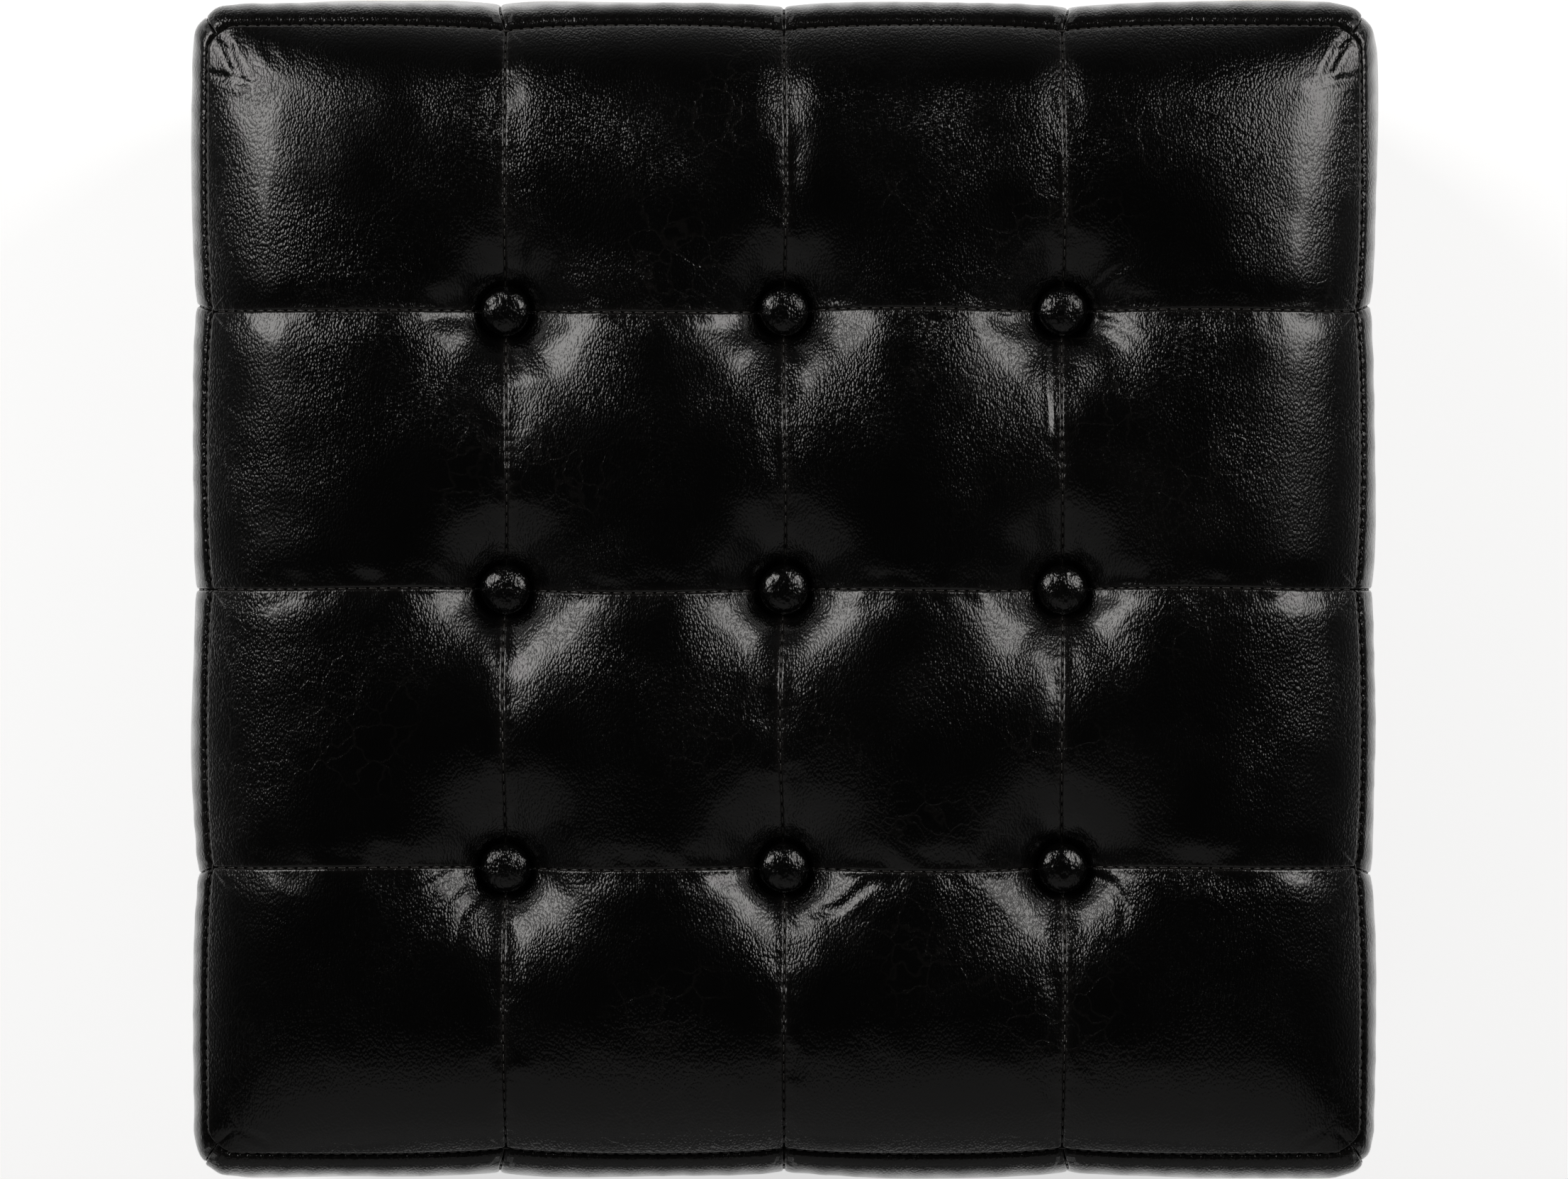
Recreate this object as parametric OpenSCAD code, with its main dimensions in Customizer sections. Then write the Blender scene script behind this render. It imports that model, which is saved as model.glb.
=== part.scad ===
// A square button-tufted leather pouf.
// The cover is sewn from sixteen top panels, four tall panels on each side and a zipped base.
// Nine covered buttons are tied down through a wadding topper and a foam slab to a deck cloth.
// The origin is the middle of the base, on the floor; +X is the right side and +Z is up.

/* [Cover] */
// Half the distance between opposite top seams
seam_half = 214; // [208:0.5:220]
// Distance between neighbouring tufting buttons
button_pitch = 103.5; // [98:0.5:108]
// Height of the seam between the top and the sides
top_seam_z = 323; // [317:1:329]
// Thickness of the leather
leather_t = 1.2; // [0.8:0.1:1.4]
// How far the sides belly out past the top seam
side_belly = 11.5; // [9:0.5:14]
// How boxy the belly is: a higher number fills it out sooner below the top seam
side_fullness = 5; // [3:1:6]
// How deep the notch at each vertical seam is
side_notch = 2.4; // [1:0.1:3]
// Radius of the upright edges at the belly
corner_r = 18; // [14:1:22]
// Radius of the corners of the top seam
top_corner_r = 8; // [6:1:10]

/* [Top] */
// How far the top rises from its seam as it rolls inwards
edge_rise = 30; // [24:1:34]
// Length over which the edge rolls inwards
edge_roll = 22; // [18:1:28]
// Extra height of the middle of the top
dome = 12; // [6:1:16]
// Depth of the dimple round a button
dimple_depth = 28; // [20:1:30]
// Length over which a dimple dies out
dimple_spread = 30; // [24:1:34]
// Radius of the leather held flat under a button
seat_r = 9.8; // [9.6:0.1:12]
// Depth of the valley along a seam
valley_depth = 3; // [1:0.5:4]
// Half-width of the valley along a seam
valley_w = 6; // [4:0.5:8]

/* [Base] */
// How far the base seam lies inside the top seam
base_inset = 12.5; // [10:0.5:14]
// Height of the rounding at the foot of the sides
foot_round = 35; // [30:1:40]
// Length of the zip opening
zip_len = 352; // [330:2:356]
// Width of the zip opening
zip_gap = 45; // [40:1:50]

/* [Buttons] */
// Diameter of a covered button
button_d = 18.5; // [17:0.5:19]
// Height of a button's dome above its rim
button_rise = 5.5; // [4:0.5:6]
// Diameter of a toggle under the deck cloth
toggle_d = 22; // [18:1:26]

/* [Filling] */
// Height of the deck cloth's underside
deck_z = 265.6; // [264:0.2:267]
// Thickness of the foam slab
foam_t = 37; // [30:1:37]
// Thickness of the padding sheets inside the sides
side_pad_t = 7.5; // [5:0.5:7.5]
// Thickness of the padding beside the zip
base_pad_t = 10.4; // [8:0.2:10.4]
// Thickness of the filling bag's cloth
bag_t = 0.8; // [0.4:0.1:1]

/* [Hidden] */

side_names = ["front", "right", "back", "left"];
strips = [1:4];
button_rows = [1:3];

leather_colour = [0.13, 0.12, 0.12];
button_colour = [0.17, 0.16, 0.16];
canvas_colour = [0.80, 0.77, 0.69];
foam_colour = [0.88, 0.84, 0.66];
metal_colour = [0.72, 0.72, 0.74];
zip_colour = [0.20, 0.20, 0.21];

// Clearances: half the gap along a seam, between a liner and the leather, and between loose pieces
seam_gap = 0.15;
lining_gap = 1.4;
loose_gap = 0.3;
tiny = 0.01;

// Grid lines of a panel, as distances from a buttoned seam and from the outer seam
button_lines = [0, 7, 17, 34];
edge_lines = [34, 18, top_corner_r, 0];
// Grid lines down a side, as angles round the foot and heights above it
foot_angles = [0, 35, 65, 90];
side_fractions = [0.3, 0.6, 0.82, 0.93, 1];

// ---- Surfaces ----

function roll(e) = 1 - exp(-max(0, e) / edge_roll);
function seam_lines() = [-button_pitch, 0, button_pitch];
function button_centres() = [for (y = seam_lines(), x = seam_lines()) [x, y]];
function nearest(v, list) = min([for (s = list) abs(v - s)]);
function nearest_button(x, y) = min([for (b = button_centres()) norm([x, y] - b)]);
function dimple(d) = dimple_depth * exp(-max(0, d - seat_r) / dimple_spread);
function dimples(x, y) = let (all = [for (b = button_centres()) dimple(norm([x, y] - b))])
    all * [for (b = all) 1];
function valley(x, y) =
    let (d = min(nearest(x, seam_lines()), nearest(y, seam_lines())),
         clear = min(1, max(0, nearest_button(x, y) - seat_r) / seat_r))
    valley_depth * (1 - clear * (1 - exp(-pow(d / valley_w, 2))));

// Height of the top at a point of the flat pattern
function top_z(x, y) =
    top_seam_z + edge_rise * roll(seam_half - abs(x)) * roll(seam_half - abs(y))
    + dome * (1 - pow(x / seam_half, 2)) * (1 - pow(y / seam_half, 2))
    - (dimples(x, y) + valley(x, y)) * edge_fade(x, y);
// The dimples and valleys die out at the outer seam
function edge_fade(x, y) =
    min(1, roll(2 * (seam_half - abs(x))) * roll(2 * (seam_half - abs(y))));

// Turns the square corners of a pattern of half-width s into quarter discs of radius r
function round_corner(x, y, s, r) =
    let (a = max(abs(x) - s + r, 0), b = max(abs(y) - s + r, 0),
         k = a > 0 && b > 0 ? max(a, b) / norm([a, b]) : 1)
    [sign(x) * (min(abs(x), s - r) + a * k), sign(y) * (min(abs(y), s - r) + b * k)];
function top_point(x, y) =
    let (p = round_corner(x, y, seam_half, top_corner_r)) [p.x, p.y, top_z(x, y)];

// Height, half-width and edge radius of the sides, for t from 0 at the base seam to 2 at the top
side_foot_z = leather_t + loose_gap;
side_top_z = top_seam_z - leather_t;
function side_z(t) = t < 1 ? side_foot_z + foot_round * (1 - cos(90 * t))
    : side_foot_z + foot_round + (side_top_z - side_foot_z - foot_round) * (t - 1);
function belly(z) = side_belly * (1 - pow(abs(z / side_top_z * 2 - 1), side_fullness));
function side_half(t) = seam_half - base_inset * (1 - sin(90 * min(t, 1))) + belly(side_z(t));
function edge_r(z) = top_corner_r + (corner_r - top_corner_r) * sin(90 * min(1, (side_top_z - z) / 60));
// A side panel swells between its seams; u runs from 0 to 1 across it
function swell(u) = side_notch * pow(max(0, 4 * u * (1 - u)), 0.4);

// Point of the front side, s from the middle, with u across its panel
function side_point(s, t, u) =
    let (z = side_z(t), w = side_half(t) - side_notch + swell(u), r = edge_r(z),
         along = abs(s) * w / seam_half, turn = 45 * max(0, along - (w - r)) / r)
    [sign(s) * (turn > 0 ? w - r + r * sin(turn) : along), -(w - r + r * cos(turn)), z];

// ---- Makers of closed solids ----

// Unit normal of the surface f at (a, b), taken inside the patch's own limits
function patch_normal(f, a, b, A, B) =
    let (ta = f(min(a + tiny, A[len(A) - 1]), b) - f(max(a - tiny, A[0]), b),
         tb = f(a, min(b + tiny, B[len(B) - 1])) - f(a, max(b - tiny, B[0])),
         n = cross(ta, tb)) n / norm(n);

// Triangles of a closed slab between two grids of na by nb points, seen from outside
function slab_faces(na, nb) =
    let (N = na * nb,
         skin = [for (i = [0:na - 2], j = [0:nb - 2]) let (p = i * nb + j)
             each [[p, p + nb + 1, p + nb], [p, p + 1, p + nb + 1],
                   [N + p, N + p + nb, N + p + nb + 1], [N + p, N + p + nb + 1, N + p + 1]]],
         sides_a = [for (i = [0:na - 2]) let (p = i * nb, q = p + nb - 1)
             each [[p, p + nb, N + p], [p + nb, N + p + nb, N + p],
                   [q + nb, q, N + q + nb], [q, N + q, N + q + nb]]],
         sides_b = [for (j = [0:nb - 2]) let (p = j, q = (na - 1) * nb + j)
             each [[p + 1, p, N + p + 1], [p, N + p, N + p + 1],
                   [q, q + 1, N + q], [q + 1, N + q + 1, N + q]]])
    concat(skin, sides_a, sides_b);

// Leather of thickness t under the patch f, on the grid lines A by B
module skin(f, A, B, t) {
    outer = [for (a = A, b = B) f(a, b)];
    inner = [for (a = A, b = B) f(a, b) - t * patch_normal(f, a, b, A, B)];
    polyhedron(concat(outer, inner), slab_faces(len(A), len(B)));
}

// Grid lines across a strip of the pattern, strip 1 to 4, a little inside its seams
function strip_lines(n) = n > 2
    ? let (inner = (n - 3) * button_pitch, outer = n == 4 ? seam_half : button_pitch,
           near_outer = n == 4 ? edge_lines : [for (i = [3:-1:0]) button_lines[i]],
           raw = concat([for (d = button_lines) inner + d], [(inner + outer) / 2],
                        [for (d = near_outer) outer - d]), last = len(raw) - 1)
      [for (i = [0:last]) raw[i] + (i == 0 ? seam_gap : i == last ? -seam_gap : 0)]
    : let (m = strip_lines(5 - n), last = len(m) - 1) [for (i = [last:-1:0]) -m[i]];

// A square plate with rounded corners, w from its middle to a side
module rounded_plate(w, r, h) {
    translate([-w, r - w, 0]) cube([2 * w, 2 * (w - r), h]);
    translate([r - w, -w, 0]) cube([2 * (w - r), 2 * w, h]);
    for (sx = [-1, 1], sy = [-1, 1])
        translate([sx * (w - r), sy * (w - r), 0]) cylinder(r = r, h = h, $fn = 64);
}

// A box from one corner to the opposite one
module box(low, high) { translate(low) cube(high - low); }

// A block with rounded edges, from z0 to z1, its upright edges rounded to r and its rims to e
module pillow_block(w, z0, z1, r, e) {
    steps = [0, 30, 60, 90];
    rings = concat([for (a = steps) [w - e * (1 - sin(a)), z0 + e * (1 - cos(a))]],
                   [for (a = steps) [w - e * (1 - cos(a)), z1 - e * (1 - sin(a))]]);
    turns = [0, 22.5, 45, 67.5, 90];
    per = 4 * len(turns);
    last = (len(rings) - 1) * per;
    points = [for (ring = rings, q = [0:3], a = turns) let (c = ring[0] - r, g = 90 * q + a)
        [c * (q == 0 || q == 3 ? 1 : -1) + r * cos(g), c * (q < 2 ? 1 : -1) + r * sin(g), ring[1]]];
    walls = [for (k = [0:len(rings) - 2], i = [0:per - 1])
        let (p = k * per + i, q = k * per + (i + 1) % per)
        each [[p, p + per, q + per], [p, q + per, q]]];
    polyhedron(points, concat(walls, [[for (i = [0:per - 1]) i]],
                              [[for (i = [per - 1:-1:0]) last + i]]));
}

// ---- Cover ----

// Panel in row r from the front and column c from the left, its buttoned corners drawn back so
// that the twine can pass between four panels
module top_panel(r, c) {
    X = strip_lines(c);
    Y = strip_lines(r);
    draw_back = 1.6;
    middle = [(X[0] + X[len(X) - 1]) / 2, (Y[0] + Y[len(Y) - 1]) / 2];
    near = function (x, y) nearest_button(x, y) < 2 * draw_back;
    patch = function (x, y) near(x, y)
        ? let (k = draw_back - seam_gap)
          top_point(x + k * sign(middle.x - x), y + k * sign(middle.y - y))
        : top_point(x, y);
    color(leather_colour) skin(patch, X, Y, leather_t);
}

// Panel n of side k, counted from the left as that side is looked at
module side_panel(k, n) {
    S = strip_lines(n);
    T = concat([for (a = foot_angles) a / 90], [for (f = side_fractions) 1 + f]);
    s0 = S[0];
    wide = S[len(S) - 1] - s0;
    color(leather_colour) rotate(90 * k)
        skin(function (s, t) side_point(s, t, (s - s0) / wide), S, T, leather_t);
}

base_half = seam_half - base_inset + 1;
// Half of the base, on the side of the zip that sign y_sign points to
module base_panel(y_sign) {
    color(leather_colour) difference() {
        intersection() {
            rounded_plate(base_half, corner_r, leather_t);
            y_far = y_sign * seam_half;
            box([-seam_half, min(0, y_far), -1], [seam_half, max(0, y_far), 9]);
        }
        box([-zip_len / 2, -zip_gap / 2, -1], [zip_len / 2, zip_gap / 2, 9]);
        // Half of the seam's gap at the two ends of the zip
        box([-seam_half, -seam_gap, -1], [seam_half, seam_gap, 9]);
    }
}

// ---- Zip ----

tape_z = 9.7;
tape_t = 0.6;
tape_end = zip_len / 2 - 4;
tape_edge = 1.2;
tape_w = 12.8;
chain_half = 3.2;
chain_t = 2.8;
chain_z = tape_z + tape_t / 2;
tooth_pitch = 5;
tooth_w = 2.2;
chain_start = -146;
chain_end = 149;
slider_x = 144;
slider_len = 14;
slider_half = 4.6;
plate_t = 1;
flange_w = 1;
slot_h = 1;
pivot_x = slider_x + slider_len / 2;
pivot_z = 6.35;
pin_r = 0.7;
bridge_half = 1.2;
bridge_len = 8;
bridge_wall = 1.4;

module tapes() {
    for (s = [-1, 1]) box([-tape_end, min(s * tape_edge, s * (tape_edge + tape_w)), tape_z],
                          [tape_end, max(s * tape_edge, s * (tape_edge + tape_w)), tape_z + tape_t]);
}
module zip_tapes() { color(zip_colour) tapes(); }

// A four-sided funnel that carries the tapes above the floor
module funnel(grow) {
    z0 = leather_t + 0.1;
    low = [zip_len / 2 + grow, zip_gap / 2 + grow];
    high = [zip_len / 2 - 10 + grow, 7 + grow];
    rise = tape_z - z0;
    over = grow > 0 ? 0 : 1;
    slope = (low - high) / rise;
    a = low + slope * over;
    b = high - slope * over;
    polyhedron(
        concat([for (p = [[-1, -1], [1, -1], [1, 1], [-1, 1]]) [p.x * a.x, p.y * a.y, z0 - over]],
               [for (p = [[-1, -1], [1, -1], [1, 1], [-1, 1]]) [p.x * b.x, p.y * b.y, tape_z + over]]),
        [[0, 1, 2, 3], [7, 6, 5, 4], [0, 4, 5, 1], [1, 5, 6, 2], [2, 6, 7, 3], [3, 7, 4, 0]]);
}
module zip_facing() {
    facing_w = 1.8;
    color(leather_colour) difference() { funnel(facing_w); funnel(0); }
}

// One side of the chain: a spine gripping its tape, with teeth that reach past the middle
module comb(s) {
    reach = 1.1;
    spine_edge = 1.5;
    count = floor((chain_end - chain_start) / tooth_pitch);
    profile = [[0, chain_half], [0, spine_edge]];
    shift = s > 0 ? 0 : tooth_pitch / 2;
    teeth = [for (i = [0:count - 1]) let (x = i * tooth_pitch + shift + (tooth_pitch / 2 - tooth_w) / 2)
        each [[x, spine_edge], [x, -reach], [x + tooth_w, -reach], [x + tooth_w, spine_edge]]];
    end = [[chain_end - chain_start, spine_edge], [chain_end - chain_start, chain_half]];
    translate([chain_start, 0, chain_z - chain_t / 2]) mirror([0, s > 0 ? 0 : 1, 0])
        linear_extrude(chain_t) polygon(concat(profile, teeth, end));
}
module zip_teeth() {
    color([0.16, 0.16, 0.17]) for (s = [-1, 1]) difference() { comb(s); tapes(); }
}

module zip_stops() {
    bottom_x = chain_start - 3.5;
    top_x = slider_x + slider_len + 1;
    stop_h = chain_t / 2 + 0.1;
    color(metal_colour) difference() {
        union() {
            box([bottom_x, -chain_half, chain_z - stop_h],
                [chain_start - 0.2, chain_half, chain_z + stop_h]);
            for (s = [-1, 1]) box([top_x, min(s * 0.5, s * chain_half), chain_z - stop_h],
                                  [top_x + 2.5, max(s * 0.5, s * chain_half), chain_z + stop_h]);
        }
        tapes();
    }
}

module zip_slider() {
    inner = chain_t / 2 + loose_gap;
    x0 = slider_x;
    x1 = slider_x + slider_len;
    color(metal_colour) {
        // Two plates with flanges, open at the sides for the tapes
        difference() {
            box([x0, -slider_half, chain_z - inner - plate_t],
                [x1, slider_half, chain_z + inner + plate_t]);
            box([x0 - 1, flange_w - slider_half, chain_z - inner],
                [x1 + 1, slider_half - flange_w, chain_z + inner]);
            box([x0 - 1, -2 * slider_half, chain_z - slot_h / 2],
                [x1 + 1, 2 * slider_half, chain_z + slot_h / 2]);
        }
        // Post between the tapes
        box([x1 - 3.8, -0.7, chain_z - inner - tiny], [x1 - 1, 0.7, chain_z + inner + tiny]);
        // Bridge that holds the pull
        difference() {
            box([pivot_x - bridge_len / 2, -bridge_half, pivot_z - 1.95],
                [pivot_x + bridge_len / 2, bridge_half, chain_z - inner - plate_t + tiny]);
            box([pivot_x - bridge_len / 2 + bridge_wall, -9, pivot_z - 0.95],
                [pivot_x + bridge_len / 2 - bridge_wall, 9, chain_z - inner - plate_t]);
        }
    }
}

// The pull lies under the chain, pointing back along it, and turns on the pin in the bridge
module zip_pull() {
    arm_in = 1.6;
    arm_out = 3.0;
    half_t = 0.6;
    web_x = pivot_x - 5.2;
    tip_x = pivot_x - 22;
    web_half = 4;
    color(metal_colour) difference() {
        union() {
            translate([pivot_x, arm_out, pivot_z]) rotate([90, 0, 0])
                cylinder(r = pin_r, h = 2 * arm_out, $fn = 32);
            for (s = [-1, 1]) box([web_x - 1, min(s * arm_in, s * arm_out), pivot_z - half_t],
                                  [pivot_x, max(s * arm_in, s * arm_out), pivot_z + half_t]);
            box([tip_x, -web_half, pivot_z - half_t], [web_x, web_half, pivot_z + half_t]);
            translate([tip_x, 0, pivot_z - half_t]) cylinder(r = web_half, h = 2 * half_t, $fn = 48);
        }
        translate([tip_x, 0, pivot_z - 1]) cylinder(r = 2, h = 2, $fn = 32);
    }
}

// ---- Buttons and tufting ----

rim_lift = 1.8;
shell_t = 0.5;
back_lift = 0.15;
ring_r = 1.25;
wire_r = 0.45;
ring_drop = 1.4;
knot_r = 2.2;
twine_r = 0.6;
toggle_t = 3;
toggle_z = deck_z - toggle_t - 0.4;
function seat_z(p) = top_z(p.x, p.y);

module at_buttons() {
    for (b = button_centres()) translate([b.x, b.y, seat_z(b)]) children();
}

// Dome whose rim has radius r at height 0, cut off below by a short skirt
module dome_cap(r, rise, skirt) {
    ball = (r * r + rise * rise) / (2 * rise);
    translate([0, 0, -skirt]) cylinder(r = r, h = skirt, $fn = 96);
    intersection() {
        translate([0, 0, rise - ball]) sphere(r = ball, $fn = 96);
        cylinder(r = r + 1, h = rise + 1, $fn = 96);
    }
}
module cap_shell(r, rise, skirt, t) {
    difference() {
        dome_cap(r, rise, skirt);
        translate([0, 0, -t]) dome_cap(r - t, rise, skirt + 1);
    }
}

module button_cap(r, c) {
    b = [seam_lines()[c - 1], seam_lines()[r - 1]];
    color(button_colour) translate([b.x, b.y, seat_z(b) + rim_lift + 1])
        cap_shell(button_d / 2, button_rise, 1, 1);
}
// The pressed dome has the cap's inner curve
module button_shells() {
    r = button_d / 2 - 1;
    ball = (r * r + button_rise * button_rise) / (2 * button_rise) - tiny;
    color(metal_colour) at_buttons() translate([0, 0, rim_lift]) difference() {
        translate([0, 0, button_rise - ball - tiny]) sphere(r = ball, $fn = 96);
        translate([0, 0, button_rise - ball - tiny]) sphere(r = ball - shell_t, $fn = 96);
        translate([0, 0, -2 * ball]) cylinder(r = 2 * ball, h = 2 * ball, $fn = 96);
    }
}
module button_backs() {
    plate_r = button_d / 2 - 2;
    hub_r = 4;
    color(metal_colour) at_buttons() {
        translate([0, 0, rim_lift]) cylinder(r = plate_r, h = 0.6, $fn = 64);
        translate([0, 0, back_lift]) cylinder(r = hub_r, h = rim_lift, $fn = 48);
        translate([0, 0, -ring_drop]) rotate([90, 0, 0])
            rotate_extrude($fn = 48) translate([ring_r, 0]) circle(r = wire_r, $fn = 24);
        translate([0, 0, ring_r - ring_drop]) cylinder(r = wire_r, h = ring_drop, $fn = 24);
    }
}
module tufting_twine() {
    color(canvas_colour) for (b = button_centres())
        let (low = toggle_z - knot_r, high = seat_z(b) - ring_drop - ring_r - wire_r - twine_r) {
            translate([b.x, b.y, low]) cylinder(r = twine_r, h = high - low, $fn = 24);
            translate([b.x, b.y, low]) sphere(r = knot_r, $fn = 32);
            translate([b.x, b.y, high - twine_r]) sphere(r = 2 * twine_r, $fn = 32);
        }
}
module tufting_toggles() {
    color([0.55, 0.42, 0.28]) for (b = button_centres()) translate([b.x, b.y, toggle_z]) difference() {
        cylinder(d = toggle_d, h = toggle_t, $fn = 64);
        translate([0, 0, -1]) cylinder(r = 1.1, h = toggle_t + 2, $fn = 32);
        // Shallow dish that the knot draws into
        translate([0, 0, toggle_t / 2 + 0.6]) cylinder(r = toggle_d / 2 - 3, h = toggle_t, $fn = 64);
    }
}

// ---- Filling ----

wadding_z = deck_z + 1 + foam_t + 2 * loose_gap;
wadding_half = seam_half - 5;
module wadding_topper() {
    corner = 10;
    drop = leather_t + lining_gap;
    out = wadding_half - button_pitch;
    half = concat([0, 7], [button_pitch / 3, 2 * button_pitch / 3, button_pitch - 7, button_pitch],
                  [button_pitch + 7, button_pitch + out / 3, button_pitch + 2 * out / 3],
                  [wadding_half - corner, wadding_half]);
    lines = concat([for (i = [len(half) - 1:-1:1]) -half[i]], half);
    flat = function (x, y) round_corner(x, y, wadding_half, corner);
    upper = [for (x = lines, y = lines) let (p = flat(x, y)) [p.x, p.y, top_z(x, y) - drop]];
    lower = [for (x = lines, y = lines) let (p = flat(x, y)) [p.x, p.y, wadding_z]];
    color([0.93, 0.92, 0.88]) polyhedron(concat(upper, lower), slab_faces(len(lines), len(lines)));
}
module bored_plate(w, r, h, bore_r) {
    difference() {
        rounded_plate(w, r, h);
        for (b = button_centres()) translate([b.x, b.y, -1]) cylinder(r = bore_r, h = h + 2, $fn = 32);
    }
}
module foam_slab() {
    color(foam_colour) translate([0, 0, deck_z + 1 + loose_gap])
        bored_plate(seam_half - 13, 25, foam_t, 2);
}
module deck_cloth() {
    color(canvas_colour) translate([0, 0, deck_z]) bored_plate(seam_half - 4, 18, 1, 1.6);
}
module side_padding() {
    outer = seam_half - 4.5;
    color(foam_colour) for (k = [0:3]) rotate(90 * k)
        box([-seam_half + 22, -outer, 22], [seam_half - 22, side_pad_t - outer, deck_z - 3]);
}
module base_padding() {
    z0 = 3;
    keep = zip_gap / 2 + 7.5;
    color(foam_colour) for (s = [-1, 1]) translate([0, 0, z0]) intersection() {
        rounded_plate(seam_half - 17, 25, base_pad_t);
        box([-seam_half, min(s * keep, s * seam_half), -1], [seam_half, max(s * keep, s * seam_half), 20]);
    }
}
bag_half = seam_half - 4.5 - side_pad_t - 0.5;
bag_low = 14;
bag_high = toggle_z - 2 * knot_r - 0.6;
bag_corner = 32;
bag_rim = 30;
module filling_bag() {
    color(canvas_colour) difference() {
        pillow_block(bag_half, bag_low, bag_high, bag_corner, bag_rim);
        pillow_block(bag_half - bag_t, bag_low + bag_t, bag_high - bag_t, bag_corner - bag_t,
                     bag_rim - bag_t);
    }
}
module stuffing() {
    gap = bag_t + loose_gap;
    color([0.95, 0.94, 0.91])
        pillow_block(bag_half - gap, bag_low + gap, bag_high - gap, bag_corner - gap, bag_rim - gap);
}

// ---- Assembly ----

for (r = strips, c = strips)
    top_panel(r, c);
for (k = [0:3], n = strips)
    side_panel(k, n);
for (r = button_rows, c = button_rows)
    button_cap(r, c);
base_panel(-1);  // base_panel_front
base_panel(1);  // base_panel_back
zip_facing();
zip_tapes();
zip_teeth();
zip_stops();
zip_slider();
zip_pull();
button_shells();
button_backs();
tufting_twine();
tufting_toggles();
wadding_topper();
foam_slab();
deck_cloth();
side_padding();
base_padding();
filling_bag();
stuffing();
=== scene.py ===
"""A square leather pouf with a button-tufted top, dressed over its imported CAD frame.

Everything is in metres in the frame's own axes: the origin is the middle of the base on the
floor, +X is the right side, +Y the back and +Z up. The leather is built panel by panel from a
flat sewing pattern whose coordinates run from the middle of the top.
"""

import math

import bmesh
import bpy
import numpy as np
from mathutils import Matrix, Vector


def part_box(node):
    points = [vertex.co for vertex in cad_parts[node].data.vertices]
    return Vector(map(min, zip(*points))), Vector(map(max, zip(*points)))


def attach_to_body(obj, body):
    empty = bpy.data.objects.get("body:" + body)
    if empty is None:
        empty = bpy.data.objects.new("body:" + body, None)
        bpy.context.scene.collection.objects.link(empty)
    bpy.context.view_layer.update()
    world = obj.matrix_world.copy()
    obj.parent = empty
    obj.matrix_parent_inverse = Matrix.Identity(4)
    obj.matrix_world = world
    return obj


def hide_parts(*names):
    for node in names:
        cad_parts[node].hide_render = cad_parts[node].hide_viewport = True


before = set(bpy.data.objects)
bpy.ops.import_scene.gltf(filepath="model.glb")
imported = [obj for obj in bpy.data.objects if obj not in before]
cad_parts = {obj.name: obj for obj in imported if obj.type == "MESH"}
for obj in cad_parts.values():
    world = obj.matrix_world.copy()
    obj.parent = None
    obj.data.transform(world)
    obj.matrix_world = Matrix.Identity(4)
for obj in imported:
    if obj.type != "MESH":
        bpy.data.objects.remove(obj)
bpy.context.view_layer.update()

bl_info = {
    "name": "Leather Pouf",
    "version": (1, 0, 0),
    "blender": (4, 5, 0),
    "location": "View3D > Sidebar > Pouf",
    "description": "Builds a button-tufted leather pouf around its frame",
    "category": "Object",
}

# ---- Places taken from the frame ----

MM = 0.001
SEAM_GAP = 0.15 * MM
LEATHER_T = 1.2 * MM
# Half the gap drawn between two panels at their seam
PANEL_GAP = 0.04 * MM
STRIPS = range(1, 5)
BUTTON_ROWS = range(1, 4)
SIDES = ("front", "right", "back", "left")

TOP_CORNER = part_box("top_panel_r4c4")[1]
SEAM_HALF = TOP_CORNER.x + SEAM_GAP
SEAM_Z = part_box("front_panel_1")[1].z + LEATHER_T
FOOT_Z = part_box("front_panel_1")[0].z
BELLY_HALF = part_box("front_panel_2")[0].y * -1
BASE_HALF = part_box("base_panel_front")[0].y * -1
BASE_CORNER = 18 * MM
# The zip's opening in the base, inside the 1.8 mm walls of its facing
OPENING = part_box("zip_facing")[1] - Vector((1.8 * MM, 1.8 * MM, 0))


def middle_of(node):
    low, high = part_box(node)
    return (low + high) / 2


BUTTONS = {
    (r, c): middle_of(f"button_cap_r{r}c{c}") for r in BUTTON_ROWS for c in BUTTON_ROWS
}
PITCH = BUTTONS[3, 3].x
SEAM_LINES = np.array([-PITCH, 0.0, PITCH])
ALL_LINES = np.array([-SEAM_HALF, *SEAM_LINES, SEAM_HALF])
BUTTON_XY = np.array([BUTTONS[key][:2] for key in sorted(BUTTONS)])
# A cap's skirt starts this far above the leather that it is pulled down on
CAP_LIFT = 1.8 * MM
SEAT_Z = np.array([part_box(f"button_cap_r{r}c{c}")[0].z - CAP_LIFT for r, c in sorted(BUTTONS)])
BUTTON_R = (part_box("button_cap_r2c2")[1].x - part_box("button_cap_r2c2")[0].x) / 2


# ---- Settings a user would change ----


def length(name, description, default, top=0.5):
    return bpy.props.FloatProperty(
        name=name, description=description, default=default, min=0.0, max=top,
        precision=4, subtype="DISTANCE", unit="LENGTH",
    )


def factor(name, description, default, top=1.0):
    return bpy.props.FloatProperty(
        name=name, description=description, default=default, min=0.0, max=top,
        subtype="FACTOR",
    )


def colour(name, description, default):
    return bpy.props.FloatVectorProperty(
        name=name, description=description, default=default, size=3, min=0.0, max=1.0,
        subtype="COLOR",
    )


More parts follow.
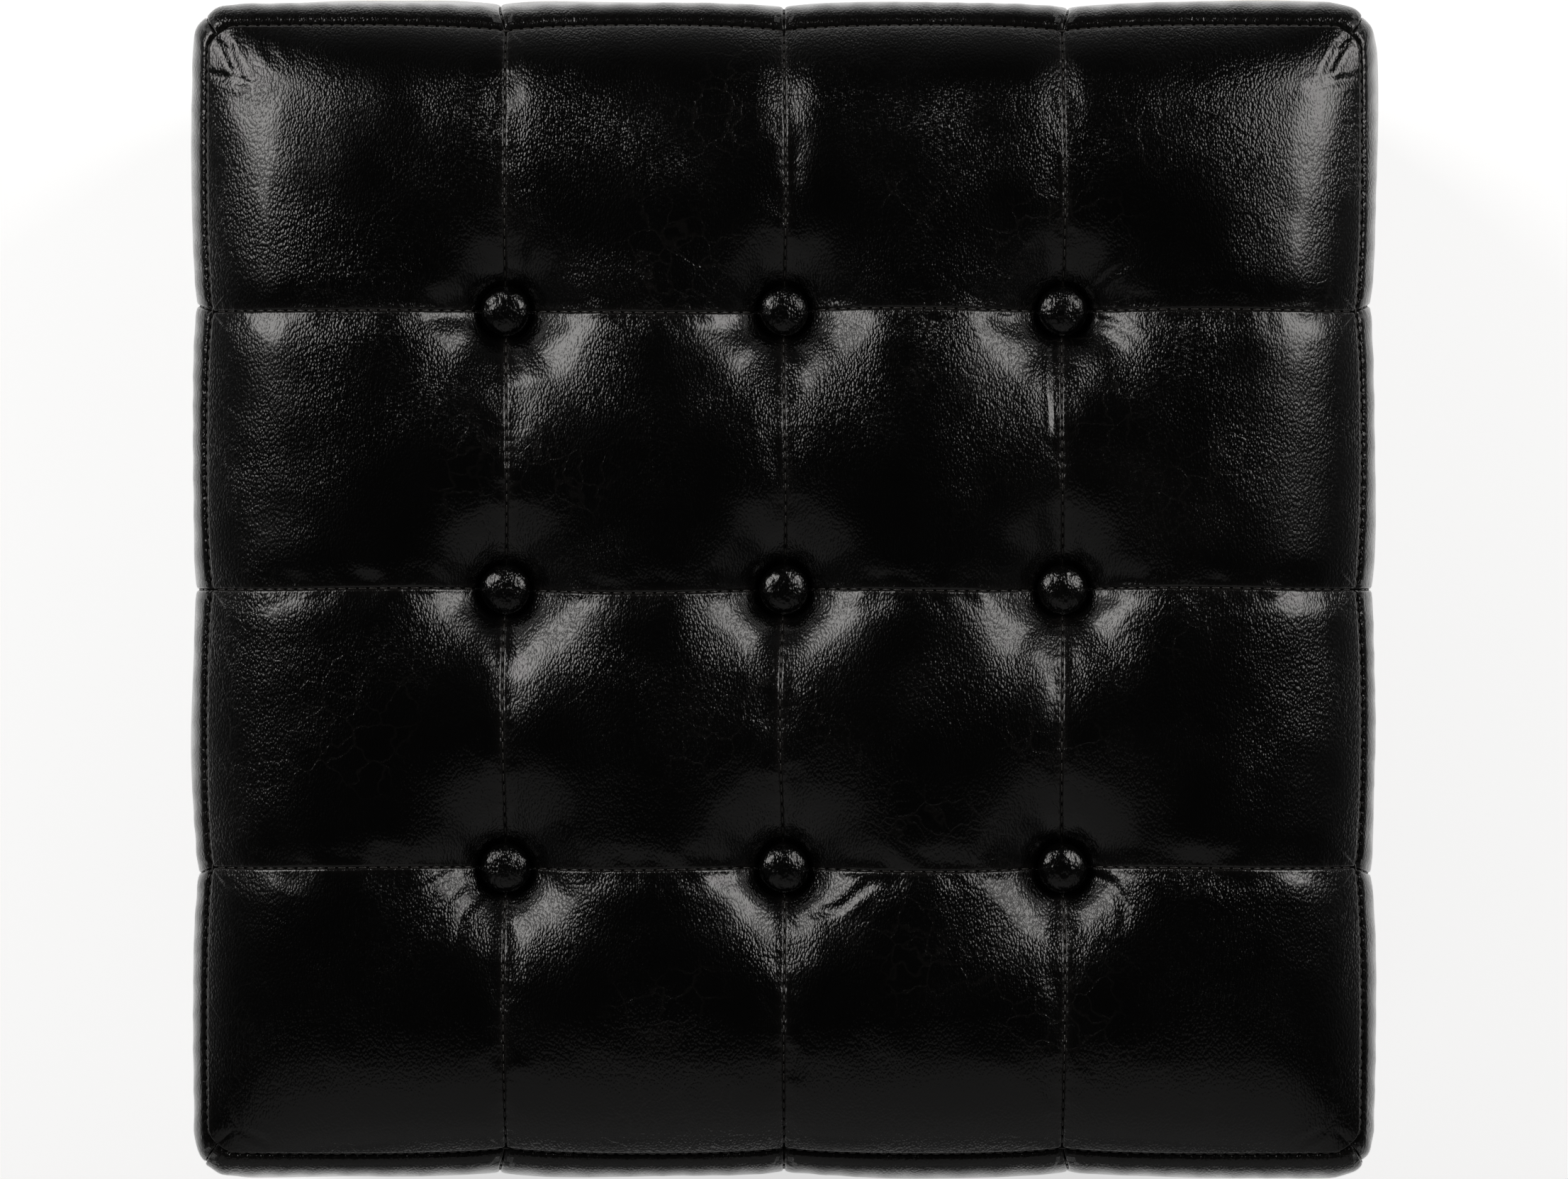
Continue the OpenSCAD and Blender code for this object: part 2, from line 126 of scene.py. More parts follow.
class PoufTopSettings(bpy.types.PropertyGroup):
    """Shape of the tufted top"""

    rise: length("Rise", "How far the top would rise from its seam untufted", 19.5 * MM)
    roll: length("Roll", "Length over which the edge rolls up", 19.5 * MM)
    dome: length("Dome", "Extra height in the middle", 12 * MM)
    spread: length("Dimple spread", "Length over which a dimple dies out", 22.5 * MM)
    seat: length("Seat", "Radius of the leather held flat by a button", 8.6 * MM)
    valley: length("Valley", "Depth of the soft valley along a seam", 2.0 * MM)
    valley_width: length("Valley width", "Half-width of that valley", 7.5 * MM)
    undulation: length("Undulation", "Height of the leather's slow waves", 0.2 * MM)
    pleats: length("Pleats", "Height of the pleats that run out from a button", 0.5 * MM)
    scallop: length("Scallop", "How far the edge is drawn in at each seam", 2.8 * MM)
    widen: length("Widen", "How far the side edges are let out", 1.4 * MM)
    narrow: length("Narrow", "How far the front and back edges are drawn in", 3.4 * MM)
    wander: length("Wander", "How far a seam strays between two buttons", 1.1 * MM)


class PoufSideSettings(bpy.types.PropertyGroup):
    """Shape of the sides"""

    notch: length("Notch", "Depth of the notch at an upright seam", 2.4 * MM)
    fullness: bpy.props.IntProperty(
        name="Fullness", description="How soon the belly fills out", default=5, min=2, max=8
    )
    inset: length("Foot inset", "How far the foot lies inside the top seam", 12.5 * MM)
    foot: length("Foot rounding", "Height of the rounding at the foot", 35 * MM)
    edge: length("Edge radius", "Radius of the upright edges at the belly", 23 * MM)
    top_edge: length("Top edge radius", "Radius of the corners of the top seam", 11 * MM)
    shoulder: length("Shoulder", "Length of the bulge under the seam, left and right", 5.5 * MM)
    round_shoulder: length("Round shoulder", "The same at the front and the back", 4 * MM)
    slow_shoulder: length("Slow shoulder", "Length of the slower part of that bulge", 55 * MM)
    undulation: length("Undulation", "Height of the leather's slow waves", 0.7 * MM)
    gathers: length("Gathers", "Height of the gathers under the top seam", 0.22 * MM)


class PoufFinishSettings(bpy.types.PropertyGroup):
    """Leather, thread and metal"""

    leather: colour("Leather", "Colour of the glazed leather", (0.0007, 0.00065, 0.0006))
    worn: colour("Worn leather", "Colour where the glaze has rubbed", (0.011, 0.0098, 0.009))
    thread: colour("Thread", "Colour of the sewing thread", (0.016, 0.0145, 0.013))
    metal: colour("Metal", "Colour of the zip's plated metal", (0.62, 0.61, 0.6))
    gloss: factor("Roughness", "Roughness of the leather's glaze", 0.21)
    grain: length("Grain", "Size of a pebble of the grain", 1 * MM, 0.01)
    grain_depth: length("Grain depth", "Depth between two pebbles", 0.19 * MM, 0.001)
    stitch: length("Stitch", "Length from one stitch to the next", 3.9 * MM, 0.01)


class PoufStageSettings(bpy.types.PropertyGroup):
    """Floor, lights and camera"""

    floor: colour("Floor", "Colour of the floor", (0.92, 0.92, 0.92))
    camera_distance: length("Camera distance", "Height of the camera over the top", 2.6, 9.0)
    frame_width: length("Frame width", "Width that the camera sees at the top", 0.584, 9.0)


SETTINGS = {
    "pouf_top": PoufTopSettings,
    "pouf_sides": PoufSideSettings,
    "pouf_finish": PoufFinishSettings,
    "pouf_stage": PoufStageSettings,
}


# ---- Shader maths ----


class Wire:
    """A shader socket that sums and products can be written with."""

    def __init__(self, graph, socket):
        self.graph = graph
        self.socket = socket

    def __add__(self, other):
        return self.graph.math("ADD", self, other)

    def __mul__(self, other):
        return self.graph.math("MULTIPLY", self, other)

    def __sub__(self, other):
        return self.graph.math("SUBTRACT", self, other)

    def __rsub__(self, other):
        return self.graph.math("SUBTRACT", other, self)

    __radd__ = __add__
    __rmul__ = __mul__


class Graph:
    """The node tree of one material."""

    def __init__(self, name, diffuse):
        self.material = bpy.data.materials.new(name)
        self.material.use_nodes = True
        self.material.diffuse_color = (*diffuse, 1)
        self.tree = self.material.node_tree
        self.tree.nodes.clear()
        self.position = self.node("ShaderNodeTexCoord")["Object"]

    def node(self, kind, settings=None, **values):
        """Adds a node, sets it up, then fills its sockets; returns its outputs by name.

        A socket is named by its label with underscores for spaces, or by its number as in _2.
        """
        made = self.tree.nodes.new(kind)
        for key, value in (settings or {}).items():
            if key == "stops":
                self.set_stops(made, value)
            else:
                setattr(made, key, value)
        for key, value in values.items():
            number = key[1:]
            socket = made.inputs[int(number) if number.isdigit() else key.replace("_", " ")]
            if isinstance(value, Wire):
                self.tree.links.new(value.socket, socket)
            else:
                socket.default_value = value
        return {out.name: Wire(self, out) for out in made.outputs if out.enabled}

    @staticmethod
    def set_stops(ramp, stops):
        elements = ramp.color_ramp.elements
        while len(elements) < len(stops):
            elements.new(1.0)
        for element, (place, shade) in zip(elements, stops):
            element.position = place
            element.color = (*shade, 1) if isinstance(shade, tuple) else (shade, shade, shade, 1)

    def math(self, operation, a, b=0.0):
        return self.node("ShaderNodeMath", {"operation": operation}, _0=a, _1=b)["Value"]

    def noise(self, scale, detail=2.0, roughness=0.5):
        return self.node(
            "ShaderNodeTexNoise", None, Vector=self.position, Scale=scale, Detail=detail,
            Roughness=roughness,
        )["Fac"]

    def smooth(self, value, low, high):
        """0 below low, 1 above high, with a soft step between."""
        return self.node(
            "ShaderNodeMapRange", {"interpolation_type": "SMOOTHSTEP"}, Value=value,
            _1=low, _2=high,
        )["Result"]

    def mix(self, amount, a, b):
        return self.node(
            "ShaderNodeMix", {"data_type": "RGBA"}, _0=amount, _6=a, _7=b
        )["Result"]

    def attribute(self, name):
        return self.node("ShaderNodeAttribute", {"attribute_name": name})["Fac"]

    def shifted(self, amount, scale, stretch=(1.0, 1.0, 1.0)):
        """Object coordinates pushed about by noise, by up to amount, then stretched."""
        cloud = self.node(
            "ShaderNodeTexNoise", None, Vector=self.position, Scale=scale, Detail=1.0
        )["Color"]
        centred = self.node(
            "ShaderNodeVectorMath", {"operation": "SUBTRACT"}, _0=cloud, _1=(0.5, 0.5, 0.5)
        )["Vector"]
        push = self.node(
            "ShaderNodeVectorMath", {"operation": "SCALE"}, _0=centred, Scale=2 * amount
        )["Vector"]
        moved = self.node(
            "ShaderNodeVectorMath", {"operation": "ADD"}, _0=self.position, _1=push
        )["Vector"]
        return self.node(
            "ShaderNodeVectorMath", {"operation": "MULTIPLY"}, _0=moved, _1=stretch
        )["Vector"]

    def finish(self, height=None, **values):
        """Ends the tree in a Principled shader, with height in metres as its bump."""
        if height is not None:
            values["Normal"] = self.node(
                "ShaderNodeBump", None, Strength=1.0, Distance=1.0, Height=height
            )["Normal"]
        shader = self.node("ShaderNodeBsdfPrincipled", None, **values)["BSDF"]
        self.node("ShaderNodeOutputMaterial", None, Surface=shader)
        return self.material


def rgba(shade):
    return (*shade, 1.0)


def glazed_leather(name, settings, seams=True, roughness=None, depth=1.0, crinkle=0.0):
    """Black goat leather: pebbled grain, fine creases, a rubbed glaze and stitch puckers."""
    g = Graph(name, settings.leather)
    pebble = 1.0 / settings.grain
    bent = g.shifted(0.4 * settings.grain, 0.35 * pebble, (1.3, 0.75, 0.9))
    cells = g.node(
        "ShaderNodeTexVoronoi", {"feature": "SMOOTH_F1"}, Vector=bent, Scale=pebble,
        Smoothness=0.35,
    )["Distance"]
    grain_patch = g.smooth(g.noise(28.0, 2.0), 0.32, 0.72)
    pores = g.noise(2.3 * pebble, 2.0)
    creases = g.node(
        "ShaderNodeTexVoronoi", {"feature": "DISTANCE_TO_EDGE"},
        Vector=g.shifted(3.5 * MM, 160.0), Scale=95.0,
    )["Distance"]
    crease_mask = g.smooth(g.noise(19.0, 1.0), 0.5, 0.66)
    crease_line = (1 - g.smooth(creases, 0.0, 0.06)) * crease_mask
    slow = g.noise(55.0, 1.0)
    height = (
        cells * (-settings.grain_depth * depth) * (0.55 + 0.75 * grain_patch)
        + pores * (0.1 * settings.grain_depth * depth)
        - crease_line * (0.05 * MM)
        + slow * (0.14 * MM)
    )
    if crinkle:
        height = height + g.noise(240.0, 2.0) * crinkle
    rubbed = g.smooth(g.noise(7.0, 3.0, 0.6), 0.52, 0.8) * 0.35 + crease_line * 0.3
    if seams:
        distance = g.attribute("seam_distance")
        run = g.attribute("seam_run")
        turn = g.math("COSINE", run * (2 * math.pi / settings.stitch))
        near = g.math("EXPONENT", distance * (-1 / (1.7 * MM)))
        height = height - (0.5 + 0.5 * turn) * near * (0.16 * MM)
        rubbed = rubbed + g.math("EXPONENT", distance * (-1 / (1.3 * MM))) * 0.7
    base = g.mix(g.math("MINIMUM", rubbed, 1.0), rgba(settings.leather), rgba(settings.worn))
    rough = (roughness or settings.gloss) + (g.noise(45.0, 3.0) - 0.5) * 0.09 + rubbed * 0.06
    return g.finish(
        height=height, Base_Color=base, Roughness=rough, Coat_Weight=0.25,
        Coat_Roughness=0.12, Specular_IOR_Level=0.5,
    )


def waxed_thread(name, settings):
    """Bonded sewing thread with its plies twisted along the stitch."""
    g = Graph(name, settings.thread)
    plies = g.noise(1600.0, 1.0)
    fuzz = g.noise(420.0, 2.0)
    base = g.mix(fuzz, rgba(settings.thread), rgba(tuple(2.4 * v for v in settings.thread)))
    return g.finish(
        height=plies * (0.05 * MM), Base_Color=base, Roughness=0.34 + 0.2 * fuzz,
        Coat_Weight=0.2,
    )


def woven_cloth(name, shade, thread, depth=0.08 * MM, roughness=0.85):
    """Plain weave, with threads along X and Y and a little slub."""
    g = Graph(name, shade)
    split = g.node("ShaderNodeSeparateXYZ", None, Vector=g.shifted(0.3 * thread, 60.0))
    turn = 2 * math.pi / thread
    over = g.math("SINE", split["X"] * turn) * g.math("SINE", (split["Y"] + split["Z"]) * turn)
    slub = g.noise(140.0, 3.0)
    tone = g.mix(
        g.smooth(over, -0.9, 0.9) * 0.5 + slub * 0.5,
        rgba(tuple(0.72 * v for v in shade)), rgba(tuple(min(1, 1.12 * v) for v in shade)),
    )
    return g.finish(
        height=over * depth + slub * (0.1 * MM), Base_Color=tone,
        Roughness=roughness + 0.1 * (slub - 0.5), Sheen_Weight=0.2,
    )


def fluffy_fill(name, shade, size, depth):
    """Open foam or matted fibre."""
    g = Graph(name, shade)
    cells = g.node(
        "ShaderNodeTexVoronoi", None, Vector=g.shifted(size, 0.4 / size), Scale=1 / size
    )["Distance"]
    lumps = g.noise(25.0, 3.0)
    # Painted shade: the tone darkens to 0.62 of the shade in the pits between cells where the bump
    # sinks; the lumps vary it at random
    tone = g.mix(
        cells * 0.7 + lumps * 0.3,
        rgba(shade), rgba(tuple(0.62 * v for v in shade)),
    )
    return g.finish(height=cells * -depth + lumps * 0.002, Base_Color=tone, Roughness=0.9)


def plated_metal(name, shade, roughness=0.28):
    """Plated metal with fine draw lines and rubbed patches."""
    g = Graph(name, shade)
    lines = g.noise(2600.0, 2.0)
    patches = g.noise(300.0, 3.0)
    tone = g.mix(g.smooth(patches, 0.55, 0.8), rgba(shade), rgba(tuple(0.7 * v for v in shade)))
    return g.finish(
        height=lines * (0.01 * MM), Base_Color=tone, Metallic=1.0,
        Roughness=roughness + 0.18 * patches,
    )


def moulded_plastic(name, shade):
    """Semi-gloss moulded teeth."""
    g = Graph(name, shade)
    wear = g.noise(500.0, 3.0)
    tone = g.mix(wear, rgba(shade), rgba(tuple(1.9 * v for v in shade)))
    return g.finish(height=wear * (0.03 * MM), Base_Color=tone, Roughness=0.3 + 0.25 * wear)


def turned_wood(name, shade):
    """Unfinished beech with rings and flecks."""
    g = Graph(name, shade)
    rings = g.node(
        "ShaderNodeTexWave", {"wave_type": "RINGS"}, Vector=g.position, Scale=90.0,
        Distortion=6.0, Detail=3.0,
    )["Fac"]
    fleck = g.noise(900.0, 2.0)
    tone = g.mix(
        rings * 0.6 + fleck * 0.3, rgba(shade), rgba(tuple(0.6 * v for v in shade))
    )
    return g.finish(height=rings * (0.05 * MM), Base_Color=tone, Roughness=0.6 + 0.15 * fleck)


# ---- The sewing pattern of the top ----


class Waves:
    """A seeded sum of plane waves, used for the leather's slow unevenness."""

    def __init__(self, seed, count, shortest, longest):
        dice = np.random.default_rng(seed)
        turn = dice.uniform(0, 2 * np.pi, count)
        pitch = np.exp(dice.uniform(np.log(shortest), np.log(longest), count))
        self.kx = 2 * np.pi / pitch * np.cos(turn)
        self.ky = 2 * np.pi / pitch * np.sin(turn)
        self.phase = dice.uniform(0, 2 * np.pi, count)
        self.share = (pitch / longest) ** 0.7 * np.sqrt(2 / count)

    def __call__(self, x, y):
        total = np.zeros_like(x)
        for kx, ky, phase, share in zip(self.kx, self.ky, self.phase, self.share):
            total += share * np.cos(kx * x + ky * y + phase)
        return total


TOP_WAVES = Waves(11, 26, 16 * MM, 90 * MM)
SIDE_WAVES = Waves(23, 30, 30 * MM, 220 * MM)
PLEAT_DICE = np.random.default_rng(5)
PLEAT_PHASE = PLEAT_DICE.uniform(0, 2 * np.pi, (9, 3))
PLEAT_TURNS = (3, 5, 8)

# Folds that use has left in the top: the points along each, its depth and its half-width, in
# millimetres from the middle of the top
FOLDS = (
    (((-207, 206), (-204, 199), (-200, 191)), 0.55, 1.7),
    (((-213, 194), (-204, 192), (-194, 188)), 0.5, 1.7),
    (((-192, 205), (-188, 198)), 0.35, 1.8),
    (((207, 206), (203, 199), (200, 192)), 0.55, 1.7),
    (((213, 193), (204, 191), (195, 188)), 0.45, 1.7),
    (((-205, -196), (-201, -204), (-192, -209)), 0.4, 1.8),
    (((204, -196), (200, -204), (192, -209)), 0.4, 1.8),
    (((113, -106), (122, -110), (126, -118), (125, -126)), 0.4, 1.8),
    (((118, -131), (125, -134), (132, -139)), 0.25, 1.6),
    (((11, -120), (20, -118), (27, -112), (33, -107)), 0.4, 1.8),
    (((-112, -112), (-119, -121), (-121, -132)), 0.35, 1.7),
    (((-117, -108), (-126, -116), (-131, -128)), 0.3, 1.7),
    (((-123, -106), (-135, -112), (-140, -121)), 0.22, 1.6),
    (((113, 101), (124, 98), (133, 91)), 0.3, 1.6),
    (((113, 110), (122, 118), (129, 121)), 0.35, 1.2),
    (((99.8, 92), (100.2, 76), (101, 58)), 0.4, 1.3),
)


def fold_height(x, y):
    """The folds, each a groove between two low ridges."""
    total = np.zeros_like(x)
    for points, depth, width in FOLDS:
        best = np.full_like(x, np.inf)
        path = np.array(points, float) * MM
        ends = np.zeros_like(x)
        for a, b in zip(path[:-1], path[1:]):
            step = b - a
            t = ((x - a[0]) * step[0] + (y - a[1]) * step[1]) / step.dot(step)
            t = np.clip(t, 0, 1)
            gap = np.hypot(x - a[0] - t * step[0], y - a[1] - t * step[1])
            best = np.minimum(best, gap)
        for end in (path[0], path[-1]):
            ends = np.maximum(ends, np.exp(-((np.hypot(x - end[0], y - end[1]) / (3 * MM)) ** 2)))
        across = best / (width * MM)
        groove = -np.exp(-(across**2)) + 0.55 * np.exp(-((across - 1.7) ** 2))
        total += depth * MM * groove * (1 - 0.8 * ends)
    return total


def roll(gap, top):
    """Share of the rise that an edge has reached at a distance from it."""
    return 1 - np.exp(-np.maximum(gap, 0) / top.roll)


def tuck(gap, radius):
    """How far leather turns down into a seam at a distance from it."""
    inside = np.clip(radius - gap, 0, radius)
    return radius - np.sqrt(np.maximum(radius**2 - inside**2, 0))


def line_gap(s, lines=SEAM_LINES):
    """Distance to the nearest of some seam lines."""
    return abs(s[..., None] - lines).min(-1)


def button_gaps(x, y):
    return [np.hypot(x - bx, y - by) for bx, by in BUTTON_XY]


def untufted(x, y, top):
    """Height of the top before the buttons are pulled down."""
    lift = top.rise * roll(SEAM_HALF - abs(x), top) * roll(SEAM_HALF - abs(y), top)
    crown = top.dome * (1 - (x / SEAM_HALF) ** 2) * (1 - (y / SEAM_HALF) ** 2)
    return SEAM_Z + lift + crown


def dimple(gap, top):
    return np.exp(-np.maximum(0, gap - top.seat) / top.spread)


def dimple_depths(top):
    """Depth of each button's dimple so that all nine seats come out at their own heights."""
    x, y = BUTTON_XY.T
    wanted = untufted(x, y, top) - top.valley - SEAT_Z
    share = np.array([dimple(gap, top) for gap in button_gaps(x, y)])
    return np.linalg.solve(share, wanted)


def pleats(x, y, top):
    """Pleats that fan out from each button."""
    total = np.zeros_like(x)
    for (bx, by), phases in zip(BUTTON_XY, PLEAT_PHASE):
        gap, turn = np.hypot(x - bx, y - by), np.arctan2(y - by, x - bx)
        reach = np.exp(-(((gap - 21 * MM) / (12 * MM)) ** 2))
        waves = sum(
            np.cos(n * turn + phase) / (1 + 0.25 * i)
            for i, (n, phase) in enumerate(zip(PLEAT_TURNS, phases))
        )
        total += top.pleats * 0.5 * reach * waves
    return total


def top_height(x, y, top, depths):
    gaps = button_gaps(x, y)
    nearest = np.minimum.reduce(gaps)
    seam_gap = np.minimum(line_gap(x), line_gap(y))
    edge = np.minimum(SEAM_HALF - abs(x), SEAM_HALF - abs(y))
    fade = 1 - np.exp(-np.maximum(edge, 0) / (11 * MM))
    clear = np.clip((nearest - top.seat) / (8 * MM), 0, 1)
    along = 0.75 + 0.25 * TOP_WAVES(2.1 * x, 2.1 * y)
    valley = top.valley * (1 - clear * (1 - along * np.exp(-((seam_gap / top.valley_width) ** 2))))
    pulled = sum(depth * dimple(gap, top) for depth, gap in zip(depths, gaps))
    loose = top.undulation * TOP_WAVES(x, y) * clear
    return (
        untufted(x, y, top)
        - pulled * fade
        - valley * fade
        + (loose + pleats(x, y, top) * clear) * fade
        + fold_height(x, y)
    )


def rounded(x, y, half, radius):
    """A square pattern's corners turned into quarter discs."""
    a = np.maximum(abs(x) - half + radius, 0)
    b = np.maximum(abs(y) - half + radius, 0)
    both = (a > 0) & (b > 0)
    k = np.where(both, np.maximum(a, b) / np.maximum(np.hypot(a, b), 1e-12), 1)
    return (
        np.sign(x) * (np.minimum(abs(x), half - radius) + a * k),
        np.sign(y) * (np.minimum(abs(y), half - radius) + b * k),
    )


def swell(s):
    """How full a panel stands across its width: least at its seams, 1 in its middle."""
    n = np.clip(np.searchsorted(ALL_LINES, s, side="right") - 1, 0, 3)
    w = (s - ALL_LINES[n]) / (ALL_LINES[n + 1] - ALL_LINES[n])
    drawn_in = 1 - (4 * w * (1 - w)).clip(0) ** 0.5
    corner = abs(s) > (PITCH + SEAM_HALF) / 2
    return 1 - drawn_in * np.where(corner, 0.3, 1)


def top_plan(x, y, top, sides):
    """Where a point of the pattern lies seen from above: seams stray and edges draw in."""
    px, py = rounded(x, y, SEAM_HALF, sides.top_edge)
    u, v = x / SEAM_HALF, y / SEAM_HALF
    still = (1 - u**2) * (1 - v**2)
    stray_x = top.wander * np.sin(np.pi * y / PITCH) * np.cos(9.0 * x + 14.0 * y + 0.6)
    stray_y = top.wander * np.sin(np.pi * x / PITCH) * np.cos(13.0 * x - 8.0 * y + 1.1)
    out_x = top.widen - top.scallop * (1 - swell(y))
    out_y = -top.narrow - top.scallop * (1 - swell(x))
    px = px + stray_x * still * 1.4 + out_x * np.sign(u) * abs(u) ** 5
    py = py + stray_y * still * 1.4 + out_y * np.sign(v) * abs(v) ** 5
    return px, py


EDGE_ROLL = 1.15 * MM
DIAGONAL = math.sqrt(0.5)


def top_surface(x, y, top, sides, depths, rolled=True):
    """Points of the tufted top; rolled turns the leather's edges into its seams."""
    px, py = top_plan(x, y, top, sides)
    z = top_height(x, y, top, depths)
    if not rolled:
        return np.stack([px, py, z], -1)
    turned_x = tuck(SEAM_HALF - abs(x), EDGE_ROLL) * DIAGONAL
    turned_y = tuck(SEAM_HALF - abs(y), EDGE_ROLL) * DIAGONAL
    z = z - tuck(np.minimum(line_gap(x), line_gap(y)), EDGE_ROLL) - turned_x - turned_y
    return np.stack([px - np.sign(x) * turned_x, py - np.sign(y) * turned_y, z], -1)


# ---- The sides ----


def side_profile(t, sides):
    """Half-width and height of a side's body, t from 0 at the foot to 2 at the top seam."""
    low = np.minimum(t, 1)
    z = np.where(
        t < 1,
        FOOT_Z + sides.foot * (1 - np.cos(low * np.pi / 2)),
        FOOT_Z + sides.foot + (SEAM_Z - FOOT_Z - sides.foot) * (t - 1),
    )
    reach = BELLY_HALF - SEAM_HALF
    below = np.clip(1 - 2 * z / SEAM_Z, 0, 1)
    belly = reach * (1 - below**sides.fullness)
    return SEAM_HALF - sides.inset * (1 - np.sin(low * np.pi / 2)) + belly, z


def side_plan(s, half, z, sides):
    """Front side's plan: along and outward distances for s of the pattern."""
    radius = sides.top_edge + (sides.edge - sides.top_edge) * np.sin(
        np.clip((SEAM_Z - z) / (35 * MM), 0, 1) * np.pi / 2
    )
    along = abs(s) * half / SEAM_HALF
    turn = np.pi / 4 * np.maximum(0, along - (half - radius)) / radius
    x = np.where(turn > 0, half - radius + radius * np.sin(turn), along)
    out = half - radius + radius * np.cos(turn)
    nx, ny = np.sin(turn), np.cos(turn)
    return np.sign(s) * x, out, np.sign(s) * nx, ny


QUARTERS = [np.array([[c, -s], [s, c]]) for c, s in ((1, 0), (0, 1), (-1, 0), (0, -1))]


def side_surface(s, t, quarter, top, sides, rolled=True, inset=0.0):
    """Points of a side; rolled turns the leather's edges into its seams."""
    half, z = side_profile(t, sides)
    body = half - inset - sides.notch * (1 - swell(s) ** 0.8)
    x, out, nx, ny = side_plan(s, body, z, sides)
    # From the top seam, wherever that has strayed to, the leather bulges out to the body
    turn = QUARTERS[quarter]
    edge = turn @ np.stack([s, np.full_like(s, -SEAM_HALF)])
    seam = turn.T @ np.stack(top_plan(edge[0], edge[1], top, sides))
    depth = SEAM_Z - z
    quick = 1 - np.exp(-depth / (sides.shoulder if quarter % 2 else sides.round_shoulder))
    slow = 1 - np.exp(-depth / sides.slow_shoulder)
    bulge = 0.53 * quick + 0.47 * slow
    x = seam[0] - nx * inset + (x - seam[0] + nx * inset) * bulge
    out = -seam[1] - ny * inset + (out + seam[1] + ny * inset) * bulge
    # Slow waves, and gathers under the top seam and over the foot
    calm = np.minimum(1, depth / (25 * MM)) * np.minimum(1, z / (25 * MM))
    wave = sides.undulation * SIDE_WAVES(s + 0.5 * quarter, z) * calm
    ripple = np.sin(s * 2 * np.pi / (13 * MM) + 2.5 * np.sin(s * 31 + quarter))
    gathered = np.exp(-(((depth - 11 * MM) / (8 * MM)) ** 2)) + np.exp(
        -(((z - 14 * MM) / (11 * MM)) ** 2)
    )
    lumps = wave + sides.gathers * ripple * gathered
    x, out = x + nx * lumps, out + ny * lumps
    if rolled:
        turned = tuck(line_gap(s, ALL_LINES), EDGE_ROLL)
        down = tuck(depth, EDGE_ROLL) * DIAGONAL
        x, out, z = x - nx * (turned + down), out - ny * (turned + down), z - down
    flat = turn @ np.stack([x, -out])
    return np.stack([flat[0], flat[1], z], -1)


# ---- Making meshes ----


def crowd(u, amount=0.8):
    """Spreads 0 to 1 so that grid lines crowd towards both ends."""
    return u - amount * np.sin(2 * np.pi * u) / (2 * np.pi)


def new_object(name, bm, material):
    mesh = bpy.data.meshes.new(name)
    bm.to_mesh(mesh)
    bm.free()
    mesh.shade_smooth()
    mesh.materials.append(material)
    made = bpy.data.objects.new(name, mesh)
    bpy.context.scene.collection.objects.link(made)
    return made


def grid_bmesh(across, down):
    """A grid and the place of its vertices from 0 to 1 each way."""
    bm = bmesh.new()
    bmesh.ops.create_grid(bm, x_segments=across, y_segments=down, size=1.0)
    flat = np.array([v.co[:2] for v in bm.verts])
    low, high = flat.min(0), flat.max(0)
    return bm, (flat - low) / (high - low)


def place(bm, points):
    """Moves a grid's vertices to their points."""
    for vertex, point in zip(bm.verts, points):
        vertex.co = point


def leather_panel(name, bm, points, seam_distance, seam_run, pattern, material):
    """Finishes a panel: its places, the attributes its finish reads, and its thickness."""
    place(bm, points)
    made = new_object(name, bm, material)
    mesh = made.data
    for key, values in (("seam_distance", seam_distance), ("seam_run", seam_run)):
        layer = mesh.attributes.new(key, "FLOAT", "POINT")
        layer.data.foreach_set("value", np.asarray(values, np.float32))
    corner_of = np.empty(len(mesh.loops), np.int32)
    mesh.loops.foreach_get("vertex_index", corner_of)
    uv = mesh.uv_layers.new(name="pattern")
    uv.data.foreach_set("uv", np.asarray(pattern[corner_of], np.float32).ravel())
    thick = made.modifiers.new("leather thickness", "SOLIDIFY")
    thick.thickness = LEATHER_T
    thick.offset = -1
    thick.use_rim = True
    return made


def strip_ends(n):
    """Pattern coordinates of strip n's two seams."""
    return ALL_LINES[n - 1], ALL_LINES[n]


def between(start, end, share):
    """Pattern coordinates of a panel's grid lines from one seam to the next."""
    return start + PANEL_GAP + (end - start - 2 * PANEL_GAP) * share


def inside_gaps(s, ends):
    """Distance to the nearer of two seams."""
    return np.minimum(abs(s - ends[0]), abs(s - ends[1]))


def attach(piece, body, slot, *nodes):
    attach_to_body(piece, body)
    if nodes:
        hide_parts(*nodes)


def show_node(node, material):
    """Gives a CAD node that stays in view its finish."""
    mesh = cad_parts[node].data
    mesh.materials.clear()
    mesh.materials.append(material)


class OBJECT_OT_pouf_top_panels(bpy.types.Operator):
    """Make the sixteen panels of the tufted top"""

    bl_idname = "object.pouf_top_panels"
    bl_label = "Top panels"

    LINES = 96

    def execute(self, context):
        scene = context.scene
        top, sides = scene.pouf_top, scene.pouf_sides
        leather = glazed_leather("top leather", scene.pouf_finish)
        depths = dimple_depths(top)
        for r in STRIPS:
            for c in STRIPS:
                bm, spots = grid_bmesh(self.LINES, self.LINES)
                (x0, x1), (y0, y1) = strip_ends(c), strip_ends(r)
                x = between(x0, x1, crowd(spots[:, 0]))
                y = between(y0, y1, crowd(spots[:, 1]))
                points = top_surface(x, y, top, sides, depths)
                gx, gy = inside_gaps(x, (x0, x1)), inside_gaps(y, (y0, y1))
                panel = leather_panel(
                    f"top_leather_r{r}c{c}", bm, points, np.minimum(gx, gy),
                    np.where(gx < gy, y, x), np.stack([x, y], -1), leather,
                )
                attach(panel, "pouf", "top_leather", f"top_panel_r{r}c{c}")
        return {"FINISHED"}


